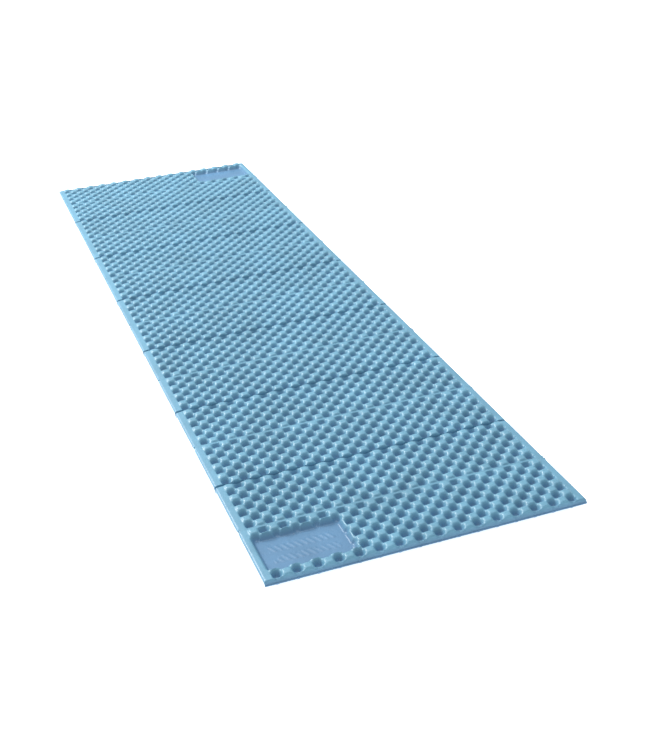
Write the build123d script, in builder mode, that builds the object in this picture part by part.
"""Folding closed-cell foam sleeping pad: fourteen egg-crate panels and thirteen fold webs."""
import os

from build123d import *

# ---- driving dimensions, millimetres ----------------------------------------------------------
PAD_WIDTH = 510.0  # across the sleeper, along X
PAD_LENGTH = 1830.0  # head to foot, along Y
PAD_HEIGHT = 20.0  # bump tip to bump tip, along Z
PANEL_COUNT = 14
FOAM_THICKNESS = 8.5  # the sheet itself, before it is moulded into bumps
DIMPLE_DEPTH = 8.6  # dimples are deep, and the bumps between them are low and broad

PANEL_PITCH = 130.4  # from one fold line to the next
ROW_PITCH = 15.8  # from one row of dimples to the next, along Y
ROWS_PER_PANEL = 8
DIMPLE_PITCH = 31.2  # from one dimple to the next in a row, along X
LONG_ROW = 16  # dimples in the rows that have the most
SHORT_ROW = LONG_ROW - 1

RIM_RADIUS = 7.0  # a dimple or bump where it meets the sheet
TIP_RADIUS = 3.5  # a dimple's floor, a bump's flat tip

WEB_WIDTH = 3.0  # fold web, along Y
WEB_THICKNESS = 1.5
LOW_WEB_BOTTOM = 5.75  # underside of the webs that close downwards
FOOT_LENGTH = 2.5  # the sheet is thickened down to such a web over this length
UPPER_GROOVE = 3.0  # half width of the V-grooves that open upwards, at the sheet's face
LOWER_GROOVE = 8.0  # the same for the grooves that open downwards
END_SLOPE = 7.5  # how far the pad's two ends slope down to their lips
CORNER_RADIUS = 3.0  # the pad's four outer corners, seen from above

PLATE_SIDE_MARGIN = 14.5  # from the pad's side to the name plate
PLATE_WIDTH = 136.0
PLATE_END_MARGIN = 28.0  # from the pad's end to the name plate
PLATE_LENGTH = 82.0
PLATE_RADIUS = 4.0

# ---- sizes that follow from them --------------------------------------------------------------
SHEET_BOTTOM = DIMPLE_DEPTH
SHEET_TOP = SHEET_BOTTOM + FOAM_THICKNESS
BUMP_HEIGHT = PAD_HEIGHT - SHEET_TOP
FIRST_ROW = (PANEL_PITCH - (ROWS_PER_PANEL - 1) * ROW_PITCH) / 2  # from a fold line
INNER_LENGTH = PANEL_COUNT * PANEL_PITCH
END_MARGIN = (PAD_LENGTH - INNER_LENGTH) / 2  # extra sheet at the pad's two ends


def hinge_y(number):
    """Return Y of a fold line; 0 and PANEL_COUNT are the lines the end panels run past."""
    return number * PANEL_PITCH - INNER_LENGTH / 2


def web_is_on_top(number):
    """Odd folds close upwards and have their web on top, even folds the other way."""
    return number % 2 == 1


def crate_places(panel_y, dimpled):
    """Return (long rows, short rows) of places that are dimples, or else bumps, seen from above."""
    first_row = panel_y - PANEL_PITCH / 2 + FIRST_ROW
    row_step = 2 * ROW_PITCH
    rows = ROWS_PER_PANEL // 2
    rows_middle = first_row + (rows - 1) * ROW_PITCH
    long_shift = 0 if dimpled else ROW_PITCH
    short_shift = ROW_PITCH - long_shift
    long_rows = (rows_middle + long_shift, LONG_ROW, row_step, rows)
    short_rows = (rows_middle + short_shift, SHORT_ROW, row_step, rows)
    return long_rows, short_rows


def add_cones(places, base_z, rise, mode):
    """Raise one frustum at every place from z = base_z, or sink it where rise is negative."""
    tilt = (0, 0, 0) if rise > 0 else (180, 0, 0)
    for middle_y, columns, row_step, rows in places:
        with Locations((0, middle_y, base_z + rise / 2)):
            with GridLocations(DIMPLE_PITCH, row_step, columns, rows):
                Cone(RIM_RADIUS, TIP_RADIUS, abs(rise), rotation=tilt, mode=mode)


def web_bottom(number):
    """Return Z of a web's underside; at the pad's two ends, that is the lip's underside."""
    if number in (0, PANEL_COUNT):
        return SHEET_BOTTOM
    return SHEET_TOP - WEB_THICKNESS if web_is_on_top(number) else LOW_WEB_BOTTOM


def cut_groove(line_y, number, side):
    """Slope one panel's end away from its fold line, on the face opposite the web."""
    half_width = groove_half_width(number)
    inner = side * WEB_WIDTH / 2
    on_top = web_is_on_top(number)
    web_face = web_bottom(number) + (0 if on_top else WEB_THICKNESS)
    sheet_face = SHEET_BOTTOM if on_top else SHEET_TOP
    far_z = -PAD_HEIGHT if on_top else 2 * PAD_HEIGHT
    steepness = (half_width - WEB_WIDTH / 2) / abs(sheet_face - web_face)
    run = abs(far_z - web_face) * steepness
    outside = line_y - side * half_width
    with BuildSketch(Plane.YZ.offset(-PAD_WIDTH)) as wedge:
        with BuildLine():
            Polyline(
                (outside, web_face),
                (line_y + inner, web_face),
                (line_y + inner + side * run, far_z),
                (outside, far_z),
                close=True,
            )
        make_face()
    extrude(wedge.sketch, amount=2 * PAD_WIDTH, mode=Mode.SUBTRACT)


def groove_half_width(number):
    """Return how far a groove, or the slope at one of the pad's ends, reaches from its line."""
    if number in (0, PANEL_COUNT):
        return END_SLOPE
    return LOWER_GROOVE if web_is_on_top(number) else UPPER_GROOVE


def crate_panel(number, plate_side=0):
    """Build one egg-crate panel; plate_side puts a name plate at its left (-1) or right (+1)."""
    first = number == 1
    last = number == PANEL_COUNT
    near_line = hinge_y(number - 1)
    far_line = hinge_y(number)
    near_end = near_line - END_MARGIN if first else near_line + WEB_WIDTH / 2
    far_end = far_line + END_MARGIN if last else far_line - WEB_WIDTH / 2
    middle = (near_line + far_line) / 2
    dimples = crate_places(middle, dimpled=True)
    bumps = crate_places(middle, dimpled=False)

    with BuildPart() as panel:
        with BuildSketch(Plane.XY.offset(SHEET_BOTTOM)):
            with Locations((0, (near_end + far_end) / 2)):
                Rectangle(PAD_WIDTH, far_end - near_end)
        extrude(amount=FOAM_THICKNESS)
        if first or last:
            corners = panel.edges().filter_by(Axis.Z).group_by(Axis.Y)[0 if first else -1]
            fillet(corners, radius=CORNER_RADIUS)
        add_cones(bumps, SHEET_TOP, BUMP_HEIGHT, Mode.ADD)
        add_cones(dimples, SHEET_BOTTOM, -DIMPLE_DEPTH, Mode.ADD)
        add_cones(bumps, SHEET_BOTTOM, BUMP_HEIGHT, Mode.SUBTRACT)
        add_cones(dimples, SHEET_TOP, -DIMPLE_DEPTH, Mode.SUBTRACT)
        if plate_side:
            add_name_plate(near_end if first else far_end, plate_side)
        if not first and not web_is_on_top(number - 1):
            add_foot(near_end, 1)
        if not last and not web_is_on_top(number):
            add_foot(far_end, -1)
        cut_groove(near_end if first else near_line, number - 1, 1)
        cut_groove(far_end if last else far_line, number, -1)
    return panel


def add_foot(end_y, inward):
    """Thicken the sheet's end downwards to the underside of a low web."""
    with BuildSketch(Plane.XY.offset(LOW_WEB_BOTTOM)) as outline:
        with Locations((0, end_y + inward * FOOT_LENGTH / 2)):
            Rectangle(PAD_WIDTH, FOOT_LENGTH)
    extrude(outline.sketch, amount=SHEET_BOTTOM - LOW_WEB_BOTTOM)


def add_name_plate(end_y, side):
    """Press one flat plate down to the dimples' floor, with its underside down to the ground."""
    inward = -1 if end_y > 0 else 1
    centre_x = side * (PAD_WIDTH / 2 - PLATE_SIDE_MARGIN - PLATE_WIDTH / 2)
    centre_y = end_y + inward * (PLATE_END_MARGIN + PLATE_LENGTH / 2)
    with BuildSketch() as outline:
        with Locations((centre_x, centre_y)):
            RectangleRounded(PLATE_WIDTH, PLATE_LENGTH, PLATE_RADIUS)
    extrude(outline.sketch, amount=PAD_HEIGHT, mode=Mode.SUBTRACT)
    extrude(outline.sketch, amount=FOAM_THICKNESS)


def moved_copy(pattern, steps):
    """Repeat an inner panel a number of panel pitches along the pad."""
    with BuildPart() as panel:
        add(pattern.part.moved(Location((0, steps * PANEL_PITCH, 0))))
    return panel


def fold_web(number):
    """Build the thin strip of foam that one fold bends in."""
    with BuildPart() as web:
        with BuildSketch(Plane.XY.offset(web_bottom(number))):
            with Locations((0, hinge_y(number))):
                Rectangle(PAD_WIDTH, WEB_WIDTH)
        extrude(amount=WEB_THICKNESS)
    return web


def save(builder, name):
    """Name one sub-part and write its STEP file."""
    builder.part.label = name
    export_step(builder.part, f"parts/{name}.step")


os.makedirs("parts", exist_ok=True)

# ---- the panels: two end panels, and two kinds that take turns between them ------------------
end_near = crate_panel(1, plate_side=-1)
end_far = crate_panel(PANEL_COUNT, plate_side=1)
even_pattern = crate_panel(2)
odd_pattern = crate_panel(3)

save(end_near, "panel_01")
for number in range(2, PANEL_COUNT):
    pattern_number = 2 if number % 2 == 0 else 3
    pattern = even_pattern if number % 2 == 0 else odd_pattern
    save(moved_copy(pattern, number - pattern_number), f"panel_{number:02d}")
save(end_far, f"panel_{PANEL_COUNT:02d}")

# ---- the webs between them ------------------------------------------------------------------
for number in range(1, PANEL_COUNT):
    save(fold_web(number), f"hinge_web_{number:02d}")
